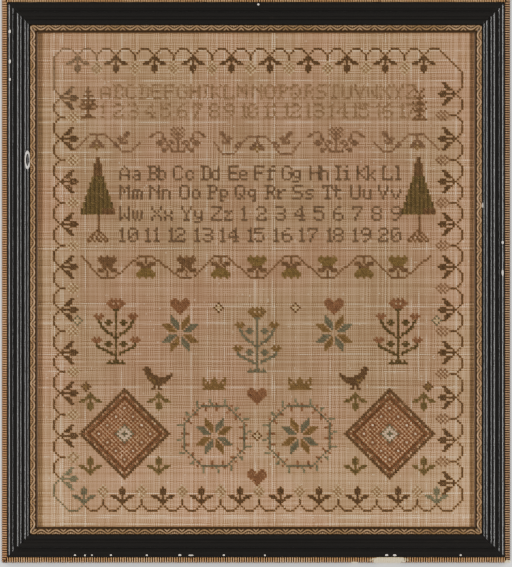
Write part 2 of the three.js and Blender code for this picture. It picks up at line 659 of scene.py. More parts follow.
def nearest_spot(finish, spots):
    """The smallest of the distances from a list of places."""
    nearest = None
    for place in spots:
        reach = spot(finish, *place)
        nearest = reach if nearest is None else finish.math("MINIMUM", nearest, reach)
    return nearest


# %% Black paint and bare pine
def black_paint():
    f = Finish("black_lacquer", (0.012, 0.010, 0.009), 0.16)
    along = f.node("UVMap", uv_map="along").outputs[0]
    crest = f.attribute("crest")
    dust = f.noise(f.place, 160, 3)
    streaks = f.streaks(along, (22, 900, 1), 3)
    hollow = f.ramp(f.plus(crest, f.times(dust, 0.5)), 0.35, -0.55)
    rubbed = f.ramp(f.times(crest, streaks), 0.52, 0.72)
    black = f.mix(hollow, (0.010, 0.009, 0.008), (0.024, 0.019, 0.015))
    black = f.mix(rubbed, black, (0.036, 0.026, 0.019))
    fray = f.times(f.noise(f.place, 900, 2), 0.9)
    rim = f.plus(nearest_spot(f, CHIPS), fray)
    bare = f.ramp(rim, 1.8, 1.5)
    ring = f.plus(spot(f, *RING_CHIP), f.times(fray, 0.45))
    ring_line = f.math("ABSOLUTE", f.minus(ring, 1.2))
    bare = f.math("MAXIMUM", bare, f.ramp(ring_line, 0.22, 0.12))
    f.colour(f.mix(bare, black, GESSO))
    outer_part = f.ramp(f.split(along)[1], 19.0 * MM, 18.0 * MM)
    f.dull(f.scaled(outer_part, -0.25, 0.63))
    gloss = f.ramp(f.streaks(along, (60, 300, 1), 4), 0.3, 0.75, 0.07, 0.15)
    gloss = f.plus(gloss, f.times(hollow, 0.03))
    gloss = f.plus(gloss, f.times(outer_part, 0.12))
    f.roughness(f.plus(gloss, f.times(bare, 0.6)))
    ripple = f.streaks(along, (35, 260, 1), 2)
    height = f.minus(f.times(ripple, 0.25), bare)
    f.bump(height, 0.12 * MM, 0.7)
    return f.material


def bare_pine(name, grain_along_x=False):
    """Pine with long grain; pieces with a UV map follow it, the board follows X."""
    f = Finish(name, (0.30, 0.18, 0.09), 0.7)
    way = f.place if grain_along_x else f.node("UVMap", uv_map="along").outputs[0]
    sway = f.streaks(way, (6, 30, 6), 2)
    y = f.split(way)[1]
    ring = f.scaled(sway, 5.0, f.times(y, 260.0))
    band = f.ramp(f.math("FRACT", ring), 0.15, 0.95)
    fibre = f.streaks(way, (40, 1500, 400), 3)
    wood = f.mix(band, (0.36, 0.23, 0.12), (0.22, 0.12, 0.055))
    wood = f.mix(f.ramp(fibre, 0.35, 0.75, 0.0, 0.5), wood, (0.14, 0.08, 0.04))
    f.colour(wood)
    f.bump(fibre, 0.05 * MM, 0.5)
    return f.material


# %% [markdown]
# ## Worn gilding
#
# Gilding on carved ornament wears where hands and dusters touch it and darkens
# where dirt stays. The stamped relief says which is which: near 0 lies the dark
# ground, which is dirt in the recesses and also painted shade there, near 1 the
# bright tops. Larger patches of noise turn the gold paler or browner, and on the
# outer strip one knocked stretch shows the gesso. The strip's foot is painted
# dark as the shadow where the frame meets the floor.

# %% Gilding
SIDE_BARS_FROM = 216.5 * MM
GILT_WEAR = 0.5
KNOCKED_GESSO = (0.95, 0.77, 0.43)
KNOCKS = [(115.6, -244.4, 15.5, 3.6), (219.5, -246.0, 3.0, 2.0), (86.0, -246.8, 3.0, 1.0)]


def aged_slip(f, coat):
    """The bars along the top and the bottom are a little duller and cooler."""
    y = f.split(f.place)[1]
    ends = f.ramp(f.math("ABSOLUTE", y), sight_half_height - MM, sight_half_height + MM)
    return f.tint(ends, coat, (0.78, 0.82, 0.86))


def aged_edge(f, coat):
    """Both side bars darker, the right one cooler, the foot painted dark as the shadow where the
    frame meets the floor, parts knocked bare.
    """
    x, _, z = f.split(f.place)
    # The side bars are darker and browner; the right one is darker still and cooler.
    outer_part = f.ramp(f.math("ABSOLUTE", x), SIDE_BARS_FROM - MM, SIDE_BARS_FROM + MM)
    coat = f.tint(outer_part, coat, (0.62, 0.53, 0.44))
    right_bar = f.ramp(x, SIDE_BARS_FROM - MM, SIDE_BARS_FROM + MM)
    coat = f.tint(right_bar, coat, (0.66, 0.76, 0.92))
    # Painted shadow: the lower outer flank is darkened where the frame meets the floor.
    foot_shadow = f.ramp(z, 9.5 * MM, 6.0 * MM)
    coat = f.tint(foot_shadow, coat, (0.35, 0.30, 0.26))
    fray = f.times(f.noise(f.place, 350, 3), 0.8)
    bare = f.ramp(f.plus(nearest_spot(f, KNOCKS), fray), 1.45, 1.25)
    return f.mix(bare, coat, KNOCKED_GESSO)


def gilding(name, ground, gold, pale, ribbed):
    f = Finish(name, gold, 0.42, 0.25)
    relief = f.attribute("relief")
    patches = f.noise(f.place, 30, 2)
    fine = f.noise(f.place, 700, 3)
    tops_over_shaded_recess = f.plus(relief, f.times(f.minus(fine, 0.5), GILT_WEAR))
    leaf = f.mix(f.ramp(patches, 0.38, 0.66), gold, pale)
    if ribbed:
        u = f.split(f.node("UVMap", uv_map="along").outputs[0])[0]
        each = f.dice(f.math("ROUND", f.math("DIVIDE", u, RIB_PITCH)))
        shade = f.mix(each, (0.62, 0.60, 0.58), (1.35, 1.30, 1.22))
        leaf = f.mix(1.0, leaf, shade, "MULTIPLY")
        f.dull(f.ramp(relief, 0.3, 0.8, 0.05, 0.45))
    # Low relief takes the dark ground: partly real dirt in the recesses, partly painted shade there.
    coat = f.mix(f.ramp(tops_over_shaded_recess, 0.12, 0.72), ground, leaf)
    rubbed = f.ramp(f.noise(f.place, 190, 3), 0.62, 0.74)
    coat = f.mix(f.times(rubbed, 0.65), coat, (0.10, 0.045, 0.02))
    coat = aged_edge(f, coat) if ribbed else aged_slip(f, coat)
    f.colour(coat)
    f.roughness(f.ramp(fine, 0.3, 0.7, 0.36, 0.6))
    f.bump(fine, 0.06 * MM, 0.5)
    return f.material


# %% Give the frame its finishes
paint = black_paint()
pine = bare_pine("bare_pine")
board_pine = bare_pine("board_pine", grain_along_x=True)
# The first colour of each gilding is its dark ground: dirt in the recesses, and painted shade there.
slip_gilding = gilding(
    "slip_gilding", (0.060, 0.030, 0.010), (0.33, 0.187, 0.076), (0.45, 0.265, 0.125), ribbed=False
)
edge_gilding = gilding(
    "edge_gilding", (0.025, 0.013, 0.006), (0.55, 0.31, 0.135), (0.70, 0.43, 0.21), ribbed=True
)


def dress(piece, face, back):
    """The face finish all over, and bare wood on what points down."""
    piece.data.materials.clear()
    piece.data.materials.append(face)
    piece.data.materials.append(back)
    for polygon in piece.data.polygons:
        polygon.material_index = 1 if polygon.normal.z < -0.9 and polygon.area > MM else 0


for bars, face in ((black_rails, paint), (gilt_slips, slip_gilding), (gilt_edges, edge_gilding)):
    for piece in bars:
        dress(piece, face, pine)
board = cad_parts["backing_board"]
for slot in board.material_slots:
    slot.material = board_pine
print("finishes on", len(black_rails + gilt_slips + gilt_edges), "bars and the board")


# %% [markdown]
# ## The linen
#
# The cloth is stretched flat, but hand-stretched linen is never quite level: it
# swells about a tenth of a millimetre between the pins. A subdivided grid takes that
# shape from one small formula, and a Solidify modifier gives it its thickness. The
# same formula later seats every stitch on the cloth. A cloth simulation would find
# the same nearly flat sheet more slowly, so the formula is the better tool here.

# %% A stretched sheet
GRID_CELL = 4.0 * MM
SWELL = 0.10 * MM
SHEET_THICKNESS = 0.9 * MM
cloth_level = linen_face - 1.2 * SWELL


def swell(x, y):
    """Height of the cloth above its mean plane at a place, in metres."""
    slow = np.sin(x * 31 + 1.3 * np.sin(y * 17)) * np.cos(y * 23 + 0.9 * np.sin(x * 19))
    quick = np.sin(x * 88 + y * 41) * np.sin(y * 97 - x * 29)
    return SWELL * (0.7 * slow + 0.3 * quick)


linen_size = linen_high - linen_low
cells = (round(linen_size.x / GRID_CELL), round(linen_size.y / GRID_CELL))
bpy.ops.mesh.primitive_grid_add(
    x_subdivisions=cells[0], y_subdivisions=cells[1], size=1,
    location=(0, 0, cloth_level),
)
linen = named("stretched_linen")
linen.scale = (linen_size.x, linen_size.y, 1)
settle(linen)
points = points_of(linen)
points[:, 2] += swell(points[:, 0], points[:, 1])
linen.data.vertices.foreach_set("co", points.ravel())
linen.data.update()
only(linen)
wall = linen.modifiers.new("thickness", "SOLIDIFY")
wall.thickness = SHEET_THICKNESS
wall.offset = -1
bpy.ops.object.modifier_apply(modifier="thickness")
bpy.ops.object.shade_smooth_by_angle(angle=math.radians(40))
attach(linen, "root")
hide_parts("linen_cloth")
print("linen:", triangles(linen), "triangles,", cells, "cells")


# %% [markdown]
# ## The weave
#
# The ground is an even plain weave: each thread passes over one and under the next.
# Two counters number the threads, one across and one down. Whether a place shows
# the upright or the lying thread is the evenness of their sum. Hand-spun thread
# differs from one to the next and along itself, so a dice gives each thread its
# tone and a stretched noise its thick and thin places. Between the threads the gaps
# are painted dark, as shade in the holes of the weave. The same numbers make the
# colour and the relief, so they always agree.

# %% Plain weave linen
STITCHES_ACROSS = 204
STITCH = 2 * sight_half_width / STITCHES_ACROSS
THREAD = STITCH / 2


def thread_tone(f, index, place_along, seed):
    """Tone of a thread from 0 to 1, and how much of a thick pale slub it has here."""
    single, before, after = [f.dice(f.plus(index, seed + k)) for k in (0.5, -0.5, 1.5)]
    others = f.times(f.plus(before, after), 0.24)
    crisp = f.minus(single, others)
    lane = f.times(index, 7.31)
    drift = f.noise(f.join(lane, f.times(place_along, 40.0), seed), 1.0, 3)
    spun = f.noise(f.join(lane, f.times(place_along, 190.0), seed + 9.0), 1.0, 1)
    region = f.join(f.times(index, 0.03), f.times(place_along, 24.0), seed)
    open_weave = f.ramp(f.noise(region, 1.0, 2), 0.35, 0.65, 0.22, 0.44)
    tone = f.scaled(crisp, open_weave, f.scaled(drift, 0.22, 0.355))
    bright = f.times(f.ramp(single, 0.95, 0.97), f.ramp(drift, 0.45, 0.60))
    slub = f.math("MAXIMUM", f.ramp(spun, 0.70, 0.80), bright)
    return tone, slub


def linen_weave():
    f = Finish("linen_weave", (0.33, 0.21, 0.12), 0.92)
    f.dull(0.2)
    x, y, _ = f.split(f.place)
    bend_x = f.times(f.streaks(f.place, (30, 9, 1), 1), 2.4 * THREAD)
    bend_y = f.times(f.streaks(f.place, (8, 30, 1), 1), 2.4 * THREAD)
    u = f.math("DIVIDE", f.plus(x, bend_x), THREAD)
    v = f.math("DIVIDE", f.plus(y, bend_y), THREAD)
    column = f.math("FLOOR", u)
    row = f.math("FLOOR", v)
    round_u = f.math("SINE", f.times(f.math("FRACT", u), math.pi))
    round_v = f.math("SINE", f.times(f.math("FRACT", v), math.pi))
    upright, upright_slub = thread_tone(f, column, y, 0.0)
    lying, lying_slub = thread_tone(f, row, x, 40.0)
    over = f.math("ABSOLUTE", f.math("MODULO", f.plus(column, row), 2.0))
    share = f.scaled(over, 0.6, 0.2)
    rest = f.minus(1.0, share)
    tone = f.plus(f.times(share, upright), f.times(rest, lying))
    slub = f.plus(f.times(share, upright_slub),
                  f.times(rest, lying_slub))
    thread = f.mix(f.ramp(tone, 0.30, 0.84), (0.113, 0.058, 0.027), (0.414, 0.250, 0.134))
    thread = f.mix(f.times(slub, 0.6), thread, (0.72, 0.53, 0.33))
    # Painted shade: the holes between the threads are darkened as if in shadow.
    hole_shade = f.ramp(f.math("MAXIMUM", round_u, round_v), 0.80, 0.45, 0.0, 0.45)
    cloth = f.mix(hole_shade, thread, (0.07, 0.035, 0.016))
    patch = f.ramp(f.noise(f.place, 14, 2), 0.35, 0.65)
    cloth = f.mix(1.0, cloth, f.mix(patch, (1.04, 0.97, 0.95), (0.97, 1.0, 0.93)), "MULTIPLY")
    # The cloth's colour is lighter towards its rim and towards the bottom.
    rim_x = f.math("DIVIDE", f.math("ABSOLUTE", x), sight_half_width)
    rim_y = f.math("DIVIDE", f.math("ABSOLUTE", f.plus(y, 0.02)), sight_half_height)
    lower = f.ramp(y, -0.08, -0.21, 0.0, 0.42)
    rim = f.math("MAXIMUM", f.ramp(rim_x, 0.72, 1.0), f.ramp(rim_y, 0.8, 1.0))
    light = f.scaled(rim, 0.22, lower)
    cloth = f.tint(light, cloth, (2.0, 1.95, 1.8))
    stain = f.ramp(f.noise(f.place, 55, 3), 0.64, 0.78, 0.0, 0.35)
    cloth = f.tint(stain, cloth, (0.78, 0.70, 0.60))
    f.colour(cloth)
    height = f.times(f.math("MAXIMUM", f.times(over, round_u),
                    f.times(f.minus(1.0, over), round_v)), 0.8)
    f.bump(f.scaled(slub, 0.4, height), 0.16 * MM, 0.5)
    return f.material


linen.data.materials.append(linen_weave())
print("threads across the sight:", round(2 * sight_half_width / THREAD))


# %% [markdown]
# ## A cross stitch
#
# Each stitch is two short lengths of wool floss, one over the other, across a
# square of two threads by two. A leg of a cross is a plump grain whose ends dive
# into the cloth. It is modelled once, from a coarse sphere whose ends are filled
# out and pressed down, and then copied many thousand times, so it has only a few
# faces. Real legs at real size catch the light the way floss does, which a painted
# cross can't do, and they stay true when the camera comes close.

# %% Model one leg
LEG_HALF_LENGTH = 0.68 * STITCH
LEG_HALF_WIDTH = 0.30 * STITCH
LEG_HALF_HEIGHT = 0.16 * STITCH
FIRST_LEG_LIFT = 0.05 * STITCH
SECOND_LEG_LIFT = 0.16 * STITCH


def select_points(piece, wanted):
    """Selects the points of a mesh for which wanted(point) is true."""
    edit(piece, "DESELECT")
    leave()
    for vertex in piece.data.vertices:
        vertex.select = wanted(vertex.co)
    bpy.ops.object.mode_set(mode="EDIT")


bpy.ops.mesh.primitive_uv_sphere_add(
    segments=4, ring_count=4, radius=1, location=(0, 0, 0), rotation=(0, math.pi / 2, 0)
)
leg = named("leg")
leg.scale = (LEG_HALF_HEIGHT, LEG_HALF_WIDTH, LEG_HALF_LENGTH)
settle(leg)
select_points(leg, lambda point: abs(point.x) > 0.4 * LEG_HALF_LENGTH)
bpy.ops.transform.resize(value=(1.0, 1.3, 1.2), center_override=(0, 0, 0))
leave()
select_points(leg, lambda point: abs(point.x) > 0.9 * LEG_HALF_LENGTH)
bpy.ops.transform.translate(value=(0, 0, -0.9 * LEG_HALF_HEIGHT))
leave()
edit(leg)
bpy.ops.mesh.quads_convert_to_tris()
bpy.ops.mesh.normals_make_consistent(inside=False)
leave()
print("a leg:", triangles(leg), "triangles,", [round(s / MM, 2) for s in leg.dimensions], "mm")


# %% [markdown]
# ## From a chart to floss
#
# An embroiderer works from a chart of squares. A chart here is a few short strings,
# one for each row, with a dot for bare cloth and a mark for each floss. Stitches
# are collected in lists first: column, row and floss. Only at the end are all legs
# of a list copied into one mesh, with numpy arrays, because a single mesh of a
# hundred thousand triangles is quick where thousands of objects are not. Every leg
# gets a small turn, shift, size and tone of its own, a few are worn away, and light from many years
# has bleached the upper work more than the lower.

# %% Flosses, charts and lines
FLOSS = {
    "bark": (0.076, 0.041, 0.017), "umber": (0.084, 0.045, 0.019),
    "tan": (0.112, 0.059, 0.026), "fawn": (0.142, 0.078, 0.040),
    "moss": (0.066, 0.044, 0.015), "olive": (0.104, 0.070, 0.024),
    "straw": (0.420, 0.275, 0.130), "honey": (0.135, 0.078, 0.027),
    "rust": (0.125, 0.044, 0.016), "brick": (0.150, 0.068, 0.031),
    "slate": (0.100, 0.089, 0.051), "sage": (0.130, 0.118, 0.066),
    "cream": (0.500, 0.340, 0.200), "ink": (0.104, 0.063, 0.033),
    "ghost": (0.190, 0.112, 0.054), "bronze": (0.125, 0.078, 0.024),
}
WORN_AWAY = {"ghost": 0.25}
work = {}


def stitch(piece, column, row, floss):
    work.setdefault(piece, {})[(column, row)] = floss


def chart(piece, rows, column, row, flosses, flip=False, mirror=False):
    """Works a chart with its top row's middle at this place; # and o name the flosses."""
    rows = rows[::-1] if flip else rows
    half = len(rows[0]) // 2
    for down, line in enumerate(rows):
        line = line[::-1] if mirror else line
        for across, mark in enumerate(line):
            if mark != ".":
                stitch(piece, column + across - half, row + down, flosses["#o".index(mark)])


def line(piece, corners, floss):
    """Stitches along straight stretches between corners (column, row)."""
    for (c0, r0), (c1, r1) in zip(corners, corners[1:]):
        steps = max(abs(c1 - c0), abs(r1 - r0))
        for step in range(steps + 1):
            share = step / max(steps, 1)
            stitch(piece, round(c0 + (c1 - c0) * share), round(r0 + (r1 - r0) * share), floss)


# %% [markdown]
# ## The border
#
# A scalloped line runs round the work, some seven stitches in from the slip. At
# every second dip stands a three-petalled sprig, and at the others a small lozenge
# on a short stem, worked open and brown on the right side. The four sides share one
# rule: it works in a frame of its own, with "along" running on the side and "inward"
# pointing to the middle, and a small function turns that into column and row.

# %% Border
SPRIG = [
    ".....#.....", "....###....", "...#####...", ".###.#.###.", "###..#..###",
    "....###....", "....###....", "....###....", ".....#.....",
]
SIDE_SPRIG = [
    ".....#.....", "....###....", "...#.#.#...", "..##.#.##..", ".###.#.###.",
    "###.###.###", "#...###...#", "....###....", ".....#.....",
]
LOZENGE = ["..#..", ".#o#.", "#o#o#", "o#o#o", "#o#o#", ".#o#.", "..#.."]
DOTTED_LOZENGE = ["..#..", ".#.#.", "#.#.#", ".#.#.", "#.#.#", ".#.#.", "..#.."]
LOZENGES = {"right": (DOTTED_LOZENGE, ["fawn"])}
DIP = 3
LINES = {"top": 7, "left": 7, "bottom": 223, "right": 198}
FIRST_SPRIG_AND_PITCH = {
    "top": (18, 18), "bottom": (21, 18.33), "left": (29.5, 19.84), "right": (28.5, 20.15),
}
SPRIGS = {
    side: [round(first + pitch * count) for count in range(10)]
    for side, (first, pitch) in FIRST_SPRIG_AND_PITCH.items()
}
CORNERS = [
    [(10, 29), (7, 26), (7, 11), (11, 7), (15, 7), (18, 10)],
    [(180, 10), (183, 7), (187, 7), (198, 18), (198, 25), (195, 28)],
    [(10, 208), (7, 211), (7, 216), (14, 223), (18, 223), (21, 220)],
    [(195, 210), (198, 213), (198, 218), (193, 223), (189, 223), (186, 220)],
]
FADED = {("left", 9): "sage", ("bottom", 0): "slate", ("bottom", 9): "sage"}
CORNER_FLOSSES = ("umber", "umber", "slate", "umber")


def on_side(side, along, inward):
    """Column and row of a place counted along a side and inward from its line."""
    places = {
        "top": (along, LINES["top"] + inward), "bottom": (along, LINES["bottom"] - inward),
        "left": (LINES["left"] + inward, along), "right": (LINES["right"] - inward, along),
    }
    return places[side]


def on_side_chart(side, rows, along, inward, flosses):
    half = len(rows[0]) // 2
    for down, marks in enumerate(rows):
        for across, mark in enumerate(marks):
            if mark != ".":
                place = on_side(side, along + across - half, inward + down)
                stitch("border_stitches", *place, flosses["#o".index(mark)])


for side, places in SPRIGS.items():
    sprig = SPRIG if side in ("top", "bottom") else SIDE_SPRIG
    for start, end in zip(places, places[1:]):
        middle = (start + end) // 2
        for first, last in ((start, middle), (middle, end)):
            for along in range(first, last + 1):
                inward = max(0, DIP - min(along - first, last - along))
                stitch("border_stitches", *on_side(side, along, inward), "umber")
        on_side_chart(side, ["#", "#"], middle, DIP + 1, ["umber"])
        lozenge, flosses = LOZENGES.get(side, (LOZENGE, ["straw", "ghost"]))
        on_side_chart(side, lozenge, middle, DIP + 3, flosses)
    for count, along in enumerate(places):
        floss = FADED.get((side, count), "bark")
        on_side_chart(side, sprig, along, DIP, [floss])
for corners, floss in zip(CORNERS, CORNER_FLOSSES):
    line("border_stitches", corners, floss)
print("border:", len(work["border_stitches"]), "stitches")


# %% [markdown]
# ## Trees and meander bands
#
# Small trees flank the upper rows and tall stepped trees flank the middle of the
# work. A stepped tree is a rule and not a chart: a list says how far it reaches out
# in each step of three rows, and its columns take two flosses in turn. The two bands are a line that
# climbs and falls in even steps, with a plant standing in each dip and another
# hanging from each top.

# %% Trees
SMALL_TREE = [
    "....#....", "....#....", "...###...", "....#....", "..#####..", "....#....",
    ".#######.", "..#.#.#..", ".#######.", "#..###..#", ".#######.", "....#....",
    "....#....", "...###...", ".#######.",
]
FORKED_TREE = [
    "..#...#..", "...#.#...", "....#....", "..#.#.#..", "...###...", "....#....",
    ".#.###.#.", "..#####..", "....#....", ".#.###.#.", "..#####..", "....#....",
    "...###...", "..#.#.#..", ".#######.",
]
TREE_FOOT = [
    "....##....", "...#.##...", "..##.#.#..", ".##.#.#.#.", "#.#.##.#.#", "##.#.##.##",
]
TREE_HALF_WIDTHS = [1, 2, 2, 3, 4, 5, 6, 7, 8]
TREE_STEP = 3
TRUNK_HEIGHT = 7


def stepped_tree(column, row):
    """A tall tree whose middle lies between this column and the one before."""
    for step, half in enumerate(TREE_HALF_WIDTHS):
        for down in range(TREE_STEP):
            for across in range(-half, half):
                top = step < 3 or (step == 8 and across > 1)
                pair = ("umber", "tan") if top else ("moss", "olive")
                place = (column + across, row + TREE_STEP * step + down)
                stitch("band_stitches", *place, pair[across % 2])
    trunk = row + TREE_STEP * len(TREE_HALF_WIDTHS)
    line("band_stitches", [(column, trunk), (column, trunk + TRUNK_HEIGHT - 1)], "tan")
    chart("band_stitches", TREE_FOOT, column, trunk + TRUNK_HEIGHT, ["tan"])


chart("band_stitches", SMALL_TREE, 23, 25, ["tan"])
chart("band_stitches", FORKED_TREE, 178, 26, ["tan"])
stepped_tree(28, 58)
stepped_tree(178, 58)


# %% Meander bands
BAND_FLOWER = [
    "..o..o..o..", ".ooooooooo.", ".ooooooooo.", "..ooooooo..", "...ooooo...",
    "...#####...", ".####.####.", ".###.#.###.", ".....#.....", ".....#.....",
    ".....#.....",
]
WIDE_PLANT = [
    "............#.#.#............", "...........#.#.#.#...........",
    "....###.....#.#.#.....###....", "..##...#...#.###.#...#...##..",
    ".##....#....#.#.#....#....##.", ".......##....###....##.......",
    ".....##.#.##..#..##.#.##.....", "....####.#.##.#.##.#.####....",
    ".....##..##...#...##..##.....", "..........#...#...#..........",
    ".......###.#..#..#.###.......", ".......##..#######..##.......",
]
HANGING_FLOWER = [
    "...#...", "...#...", "...#...", "..###..", ".##.##.", "###o###", "##o.o##", "...o...",
]
LEAF_SPRAY = ["....##", "...###", ".#.##.", "####..", ".##.#.", ".####."]
LOOP = ["##.", "#.#", ".##"]
MIDDLE = STITCHES_ACROSS // 2

LOWER_PLACES = [17, 32, 50, 69, 85, 102, 118, 135, 152, 168, 186]
LOWER_ROWS = (104, 114)
HALF_FLAT = 3
corners = []
for turn, column in enumerate(LOWER_PLACES):
    row = LOWER_ROWS[turn % 2]
    corners += [(column - HALF_FLAT, row), (column + HALF_FLAT, row)]
line("band_stitches", corners[1:-1], "tan")
for turn, column in enumerate(LOWER_PLACES[1:-1]):
    upright = turn % 2 == 0
    crown = "bronze" if turn > 3 or not upright else "tan"
    chart("band_stitches", BAND_FLOWER, column, LOWER_ROWS[0], ["tan", crown], flip=not upright)

OUTER_LINE = [(17, 54), (24, 47), (31, 47), (39, 55), (43, 55), (47, 51)]
INNER_LINE = [(82, 51), (86, 56), (91, 56), (98, 48), (102, 48)]
for corners in (OUTER_LINE, INNER_LINE):
    line("band_stitches", corners, "fawn")
    line("band_stitches", [(2 * MIDDLE - column, row) for column, row in corners], "fawn")
for column, row in ((27, 47), (MIDDLE, 48), (2 * MIDDLE - 27, 47)):
    chart("band_stitches", HANGING_FLOWER, column, row, ["fawn", "honey"])
for side in (-1, 1):
    chart("band_stitches", WIDE_PLANT, MIDDLE + side * 37, 44, ["fawn"])
    for outer, facing in ((62, side > 0), (14, side < 0)):
        chart("band_stitches", LEAF_SPRAY, MIDDLE + side * outer, 46, ["fawn"], mirror=facing)
    for outer, facing in ((66, side > 0), (9, side < 0)):
        chart("band_stitches", LOOP, MIDDLE + side * outer, 51, ["fawn"], mirror=facing)
print("trees and bands:", len(work["band_stitches"]), "stitches")


# %% [markdown]
# ## Letters and numbers
#
# A sampler is an exercise, and its plain rows of an alphabet and of numbers are
# generic. They are worked from a small font of squares, seven high. The pale upper
# rows hold the capitals and the numbers from one up. The four darker rows below
# hold both cases of the alphabet and count on. No names, verses or dates are worked.

# %% A font of squares
GLYPHS = {
    "0": ".###. #...# #..## #.#.# ##..# #...# .###.",
    "1": ".#. ##. .#. .#. .#. .#. ###",
    "2": ".###. #...# ....# ..##. .#... #...# #####",
    "3": "####. ....# ....# .###. ....# #...# .###.",
    "4": "...#. ..##. .#.#. #..#. ##### ...#. ..###",
    "5": "##### #.... ####. ....# ....# #...# .###.",
    "6": "..##. .#... #.... ####. #...# #...# .###.",
    "7": "##### #...# ...#. ..#.. ..#.. .#... .#...",
    "8": ".###. #...# #...# .###. #...# #...# .###.",
    "9": ".###. #...# #...# .#### ....# ...#. .##..",
    "A": "..#.. .#.#. #...# #...# ##### #...# #...#",
    "B": "####. .#..# .#..# .###. .#..# .#..# ####.",
    "C": ".###. #...# #.... #.... #.... #...# .###.",
    "D": "####. .#..# .#..# .#..# .#..# .#..# ####.",
    "E": "##### #.... #.... ####. #.... #.... #####",
    "F": "##### #.... #.... ####. #.... #.... ##...",
    "G": ".###. #...# #.... #..## #...# #...# .###.",
    "H": "#...# #...# #...# ##### #...# #...# #...#",
    "I": "### .#. .#. .#. .#. .#. ###",
    "K": "#...# #..#. #.#.. ##... #.#.. #..#. #...#",
    "L": "##... #.... #.... #.... #.... #...# #####",
    "M": "#...# ##.## #.#.# #.#.# #...# #...# #...#",
    "N": "#...# ##..# #.#.# #..## #...# #...# #...#",
    "O": ".###. #...# #...# #...# #...# #...# .###.",
    "P": "####. .#..# .#..# .###. .#... .#... ###..",
    "Q": ".###. #...# #...# #...# #.#.# #..#. .##.#",
    "R": "####. .#..# .#..# .###. .#.#. .#..# ##..#",
    "S": ".#### #.... #.... .###. ....# ....# ####.",
    "T": "##### #.#.# ..#.. ..#.. ..#.. ..#.. .###.",
    "U": "#...# #...# #...# #...# #...# #...# .###.",
    "V": "#...# #...# #...# .#.#. .#.#. ..#.. ..#..",
    "W": "#...# #...# #...# #.#.# #.#.# ##.## #...#",
    "X": "#...# #...# .#.#. ..#.. .#.#. #...# #...#",
    "Y": "#...# #...# .#.#. ..#.. ..#.. ..#.. .###.",
    "Z": "##### ....# ...#. ..#.. .#... #.... #####",
    "a": ".... .... .##. ...# .### #..# .###",
    "b": "#... #... ###. #..# #..# #..# ###.",
    "c": ".... .... .##. #..# #... #..# .##.",
    "d": "...# ...# .### #..# #..# #..# .###",
    "e": ".... .... .##. #..# #### #... .###",
    "f": "..## .#.. #### .#.. .#.. .#.. ###.",
    "g": ".... .... .### #..# #..# .### ...# ###.",
    "h": "#... #... ###. #..# #..# #..# #..#",
    "i": ".#. ... ##. .#. .#. .#. ###",
    "k": "#... #... #..# #.#. ##.. #.#. #..#",
    "l": "##. .#. .#. .#. .#. .#. ###",
    "m": "..... ..... ####. #.#.# #.#.# #.#.# #.#.#",
    "n": ".... .... ###. #..# #..# #..# #..#",
    "o": ".... .... .##. #..# #..# #..# .##.",
    "p": ".... .... ###. #..# #..# ###. #... ##..",
    "q": ".... .... .### #..# #..# .### ...# ..##",
    "r": ".... .... #.## ##.. #... #... ##..",
    "s": ".... .... .### #... .##. ...# ###.",
    "t": ".#.. .#.. #### .#.. .#.. .#.. ..##",
    "u": ".... .... #..# #..# #..# #..# .###",
    "v": "..... ..... #...# #...# .#.#. .#.#. ..#..",
    "w": "..... ..... #.#.# #.#.# #.#.# #.#.# .#.#.",
    "x": ".... .... #..# #..# .##. #..# #..#",
    "y": ".... .... #..# #..# #..# .### ...# ###.",
    "z": ".... .... #### ..#. .#.. #... ####",
}


# %% Rows of letters and numbers
def worked_row(signs, first, last, row, floss):
    """Spreads the signs evenly from the first to the last column; a space is a gap."""
    shapes = [GLYPHS[sign].split() if sign != " " else [".."] for sign in signs]
    room = last - first + 1 - sum(len(shape[0]) for shape in shapes)
    between = room / (len(signs) - 1)
    start = float(first)
    for shape in shapes:
        width = len(shape[0])
        chart("letter_stitches", shape, round(start) + width // 2, row, [floss])
        start += width + between


def pairs(letters):
    return " ".join(letter + letter.lower() for letter in letters)


def count(first, last):
    return " ".join(str(number) for number in range(first, last + 1))


worked_row("ABCDEFGHIKLMNOPQRSTUVWXYZ", 29, 176, 24, "ghost")
worked_row(count(1, 17), 29, 176, 33, "ghost")
DARK_ROWS = {
    62: pairs("ABCDEFGHIKL"), 71: pairs("MNOPQRSTUV"), 81: pairs("WXYZ") + " " + count(1, 9),
    91: count(10, 20),
}
for row, signs in DARK_ROWS.items():
    worked_row(signs, 38, 169, row, "ink")
print("letters and numbers:", len(work["letter_stitches"]), "stitches")


# %% [markdown]
# ## The lower design
#
# The lower part is a plain symmetrical arrangement of the commonest sampler motifs:
# stepped lozenge carpets, wreaths, eight-pointed stars, carnations, birds, hearts
# and crowns. The big forms are rules. A carpet is all squares whose distances from
# the middle, across plus down, stay under its size, and its lattice comes from two
# remainders. A star is eight slanted blocks, which two inequalities describe.

# %% Rules for carpets, stars and wreaths
def carpet(column, row, half):
    """A lozenge with a diamond lattice, pale specks and a border."""
    for down in range(-half, half + 1):
        for across in range(-half, half + 1):
            reach = abs(across) + abs(down)
            if reach > half:
                continue
            rising, falling = (across + down) % 8, (across - down) % 8
            if reach >= half - 1 or reach == half - 4:
                floss = "umber"
            elif reach <= 4:
                floss = "cream" if reach in (2, 3) else "slate"
            elif rising == 0 or falling == 0:
                floss = "rust"
            elif rising == 4 and falling == 4:
                floss = "cream"
            elif rising in (1, 7) or falling in (1, 7):
                continue
            else:
                floss = "brick"
            stitch("carpet_stitches", column + across, row + down, floss)


def star(column, row, size, flosses):
    """Eight slanted blocks round a middle, in two flosses."""
    for down in range(-2 * size, 2 * size + 1):
        for across in range(-2 * size, 2 * size + 1):
            a, d = abs(across), abs(down)
            upright = 1 <= a <= size and a < d <= a + size
            lying = 1 <= d <= size and d < a <= d + size
            if upright or lying:
                floss = flosses[0] if upright == (across * down > 0) else flosses[1]
                stitch("garden_stitches", column + across, row + down, floss)


WREATH_SPRAYS = 32


